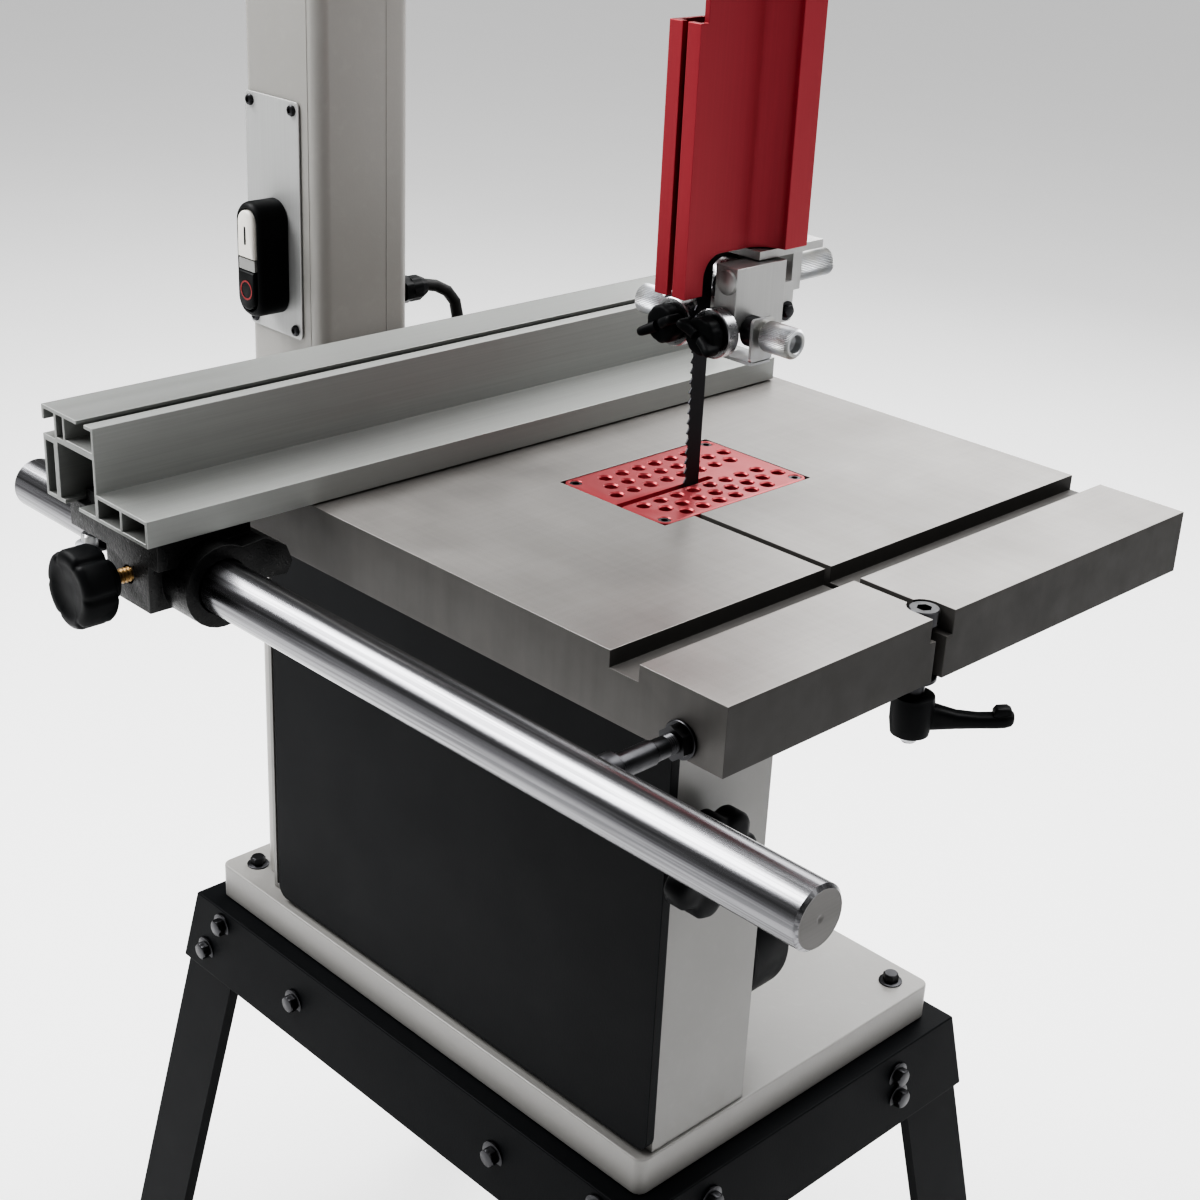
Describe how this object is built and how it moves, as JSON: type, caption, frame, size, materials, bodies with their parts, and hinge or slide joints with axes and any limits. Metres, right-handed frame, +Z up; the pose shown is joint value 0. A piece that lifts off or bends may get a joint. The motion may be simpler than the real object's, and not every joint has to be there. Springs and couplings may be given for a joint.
{
  "type": "band saw",
  "caption": "Floor-standing vertical band saw with steel frame, tilting ribbed table, extruded fence on a round rail, red blade guard post and roller guides, on a splayed stand.",
  "frame": {"origin": "on the floor under the middle of the machine's bounding box", "axes": "+Z up, +X to the operator's right, +Y from the operator towards the back of the machine"},
  "size_m": [0.8716, 0.6946, 1.799],
  "materials": {
    "black_paint": "satin black powder coat",
    "pale_paint": "semi-gloss light grey paint",
    "grey_paint": "semi-gloss warm grey paint",
    "motor_paint": "black motor enamel",
    "wheel_alloy": "cast and machined wheel",
    "satin_aluminium": "satin anodised extrusion",
    "red_anodised": "red anodised aluminium",
    "ground_iron": "ground and oiled cast iron",
    "black_casting": "rough black painted casting",
    "polished_steel": "ground and polished steel",
    "zinc_plate": "bright zinc plate, knurled",
    "black_oxide": "black oxide steel",
    "blade_steel": "dark hardened spring steel",
    "black_plastic": "moulded black plastic",
    "white_plastic": "moulded white plastic",
    "rubber": "black rubber"
  },
  "bodies": {
    "frame": {"stand_apron": "black_paint", "stand_leg_front_left": "black_paint", "stand_leg_rear_left": "black_paint", "stand_leg_front_right": "black_paint", "stand_leg_rear_right": "black_paint", "base_pan": "pale_paint", "column": "grey_paint", "lower_housing": "grey_paint", "upper_housing": "grey_paint", "dust_port": "black_plastic", "motor": "motor_paint", "drive_belt": "rubber", "blade": "blade_steel", "tension_spring": "polished_steel", "trunnion_saddle": "black_casting", "switch_plate": "satin_aluminium", "switch_box": "black_plastic", "cable_gland": "black_plastic", "motor_lead": "rubber"},
    "lower_wheel_set": {"lower_wheel": "wheel_alloy", "lower_tyre": "rubber", "lower_axle": "polished_steel", "lower_pulley": "black_casting"},
    "motor_rotor": {"motor_pulley": "black_casting"},
    "carriage": {"wheel_carriage": "black_casting"},
    "upper_wheel_set": {"upper_wheel": "wheel_alloy", "upper_tyre": "rubber", "upper_axle": "polished_steel"},
    "tension_screw": {"tension_knob": "black_plastic"},
    "tracking_screw": {"tracking_knob": "black_plastic"},
    "lower_door_leaf": {"lower_door": "black_paint"},
    "lower_door_lock": {"lower_door_knob": "black_plastic"},
    "upper_door_leaf": {"upper_door": "black_paint"},
    "upper_door_lock": {"upper_door_knob": "black_plastic"},
    "guide": {"guide_post": "red_anodised", "guide_block": "satin_aluminium", "guide_bracket": "satin_aluminium"},
    "post_handwheel": {"post_handwheel": "black_plastic"},
    "thrust_roller": {"thrust_bearing": "polished_steel"},
    "thrust_screw": {"thrust_knob": "zinc_plate"},
    "side_roller_right": {"side_bearing_right": "polished_steel"},
    "side_roller_left": {"side_bearing_left": "polished_steel"},
    "wing_lock_right": {"wing_knob_right": "black_plastic"},
    "wing_lock_left": {"wing_knob_left": "black_plastic"},
    "side_screw_right": {"side_knob_right": "zinc_plate"},
    "side_screw_left": {"side_knob_left": "zinc_plate"},
    "tilting_table": {"table": "ground_iron", "table_insert": "red_anodised", "levelling_pin": "polished_steel", "table_trunnion": "black_casting", "fence_rail": "polished_steel", "rail_stud_right": "black_oxide", "rail_stud_left": "black_oxide"},
    "tilt_lock": {"tilt_lock_knob": "black_plastic"},
    "pin_lever": {"pin_lever": "black_plastic"},
    "fence": {"fence_bar": "satin_aluminium", "fence_carrier": "black_casting"},
    "fence_lock": {"fence_knob": "black_plastic"},
    "start_button": {"start_button": "white_plastic"},
    "stop_button": {"stop_button": "black_plastic"}
  },
  "joints": [
    {"name": "table_tilt", "type": "hinge", "parent": "frame", "child": "tilting_table", "pos_m": [0.10682, -0.00932, 0.952], "axis": [0, 1, 0], "range_deg": [-5, 45]},
    {"name": "fence_slide", "type": "slide", "parent": "tilting_table", "child": "fence", "axis": [1, 0, 0], "range_m": [-0.06, 0.085]},
    {"name": "fence_lock_turn", "type": "hinge", "parent": "fence", "child": "fence_lock", "pos_m": [-0.03418, -0.33932, 0.925], "axis": [0, 1, 0], "range_deg": [-180, 180]},
    {"name": "pin_lever_turn", "type": "hinge", "parent": "tilting_table", "child": "pin_lever", "pos_m": [0.30682, -0.04432, 0.952], "axis": [0, 0, 1], "range_deg": [-90, 90]},
    {"name": "tilt_lock_turn", "type": "hinge", "parent": "frame", "child": "tilt_lock", "pos_m": [0.03082, 0.00568, 0.876], "axis": [1, 0, 0], "range_deg": [0, 180]},
    {"name": "handwheel_turn", "type": "hinge", "parent": "frame", "child": "post_handwheel", "pos_m": [0.16682, 0.03568, 1.392], "axis": [1, 0, 0], "range_deg": [-311, 1147]},
    {"name": "post_slide", "type": "slide", "parent": "frame", "child": "guide", "axis": [0, 0, 1], "range_m": [-0.065, 0.24]},
    {"name": "thrust_roller_spin", "type": "hinge", "parent": "guide", "child": "thrust_roller", "pos_m": [0.10682, 0.01008, 1.072], "axis": [1, 0, 0], "continuous": true},
    {"name": "thrust_screw_turn", "type": "hinge", "parent": "guide", "child": "thrust_screw", "pos_m": [0.10682, 0.08068, 1.072], "axis": [0, 1, 0], "range_deg": [-180, 180]},
    {"name": "side_roller_right_spin", "type": "hinge", "parent": "guide", "child": "side_roller_right", "pos_m": [0.12212, -0.00932, 1.0494], "axis": [0, 1, 0], "continuous": true},
    {"name": "side_roller_left_spin", "type": "hinge", "parent": "guide", "child": "side_roller_left", "pos_m": [0.09152, -0.00932, 1.0494], "axis": [0, 1, 0], "continuous": true},
    {"name": "wing_lock_right_turn", "type": "hinge", "parent": "guide", "child": "wing_lock_right", "pos_m": [0.12212, -0.00932, 1.0494], "axis": [0, 1, 0], "range_deg": [-8, 60]},
    {"name": "wing_lock_left_turn", "type": "hinge", "parent": "guide", "child": "wing_lock_left", "pos_m": [0.09152, -0.00932, 1.0494], "axis": [0, -1, 0], "range_deg": [-8, 60]},
    {"name": "side_screw_right_turn", "type": "hinge", "parent": "guide", "child": "side_screw_right", "pos_m": [0.14682, 0.00268, 1.0503], "axis": [1, 0, 0], "range_deg": [-180, 180]},
    {"name": "side_screw_left_turn", "type": "hinge", "parent": "guide", "child": "side_screw_left", "pos_m": [0.06682, 0.00268, 1.0503], "axis": [1, 0, 0], "range_deg": [-180, 180]},
    {"name": "lower_door_swing", "type": "hinge", "parent": "frame", "child": "lower_door_leaf", "pos_m": [-0.28618, -0.04032, 0.672], "axis": [0, 0, 1], "range_deg": [-110, 0]},
    {"name": "lower_door_lock_turn", "type": "hinge", "parent": "frame", "child": "lower_door_lock", "pos_m": [0.14682, -0.02432, 0.718], "axis": [1, 0, 0], "range_deg": [0, 180]},
    {"name": "upper_door_swing", "type": "hinge", "parent": "frame", "child": "upper_door_leaf", "pos_m": [-0.29018, -0.04032, 1.552], "axis": [0, 0, 1], "range_deg": [-110, 0]},
    {"name": "upper_door_lock_turn", "type": "hinge", "parent": "frame", "child": "upper_door_lock", "pos_m": [0.16682, -0.02432, 1.592], "axis": [1, 0, 0], "range_deg": [0, 180]},
    {"name": "lower_wheel_spin", "type": "hinge", "parent": "frame", "child": "lower_wheel_set", "pos_m": [-0.07448, -0.00932, 0.672], "axis": [0, 1, 0], "continuous": true},
    {"name": "motor_spin", "type": "hinge", "parent": "frame", "child": "motor_rotor", "pos_m": [-0.18318, -0.00932, 0.572], "axis": [0, 1, 0], "continuous": true},
    {"name": "upper_wheel_spin", "type": "hinge", "parent": "carriage", "child": "upper_wheel_set", "pos_m": [-0.07448, -0.00932, 1.542], "axis": [0, 1, 0], "continuous": true},
    {"name": "tension_turn", "type": "hinge", "parent": "frame", "child": "tension_screw", "pos_m": [-0.07448, 0.02068, 1.78], "axis": [0, 0, 1], "range_deg": [-1801, 1]},
    {"name": "carriage_slide", "type": "slide", "parent": "frame", "child": "carriage", "axis": [0, 0, 1], "range_m": [-0.01, 0]},
    {"name": "tracking_turn", "type": "hinge", "parent": "carriage", "child": "tracking_screw", "pos_m": [-0.07448, -0.00932, 1.52], "axis": [0, 1, 0], "range_deg": [-180, 180]},
    {"name": "start_button_press", "type": "slide", "parent": "frame", "child": "start_button", "axis": [0, 1, 0], "range_m": [0, 0.003], "stiffness_N_per_m": 300},
    {"name": "stop_button_press", "type": "slide", "parent": "frame", "child": "stop_button", "axis": [0, 1, 0], "range_m": [0, 0.003], "stiffness_N_per_m": 300}
  ],
  "couplings": [
    {"joint": "handwheel_turn", "follows": "post_slide", "rad_per_m": 83.333},
    {"joint": "upper_wheel_spin", "follows": "lower_wheel_spin", "ratio": 1},
    {"joint": "motor_spin", "follows": "lower_wheel_spin", "ratio": 1.7333},
    {"joint": "tension_turn", "follows": "carriage_slide", "rad_per_m": 3141.6}
  ]
}
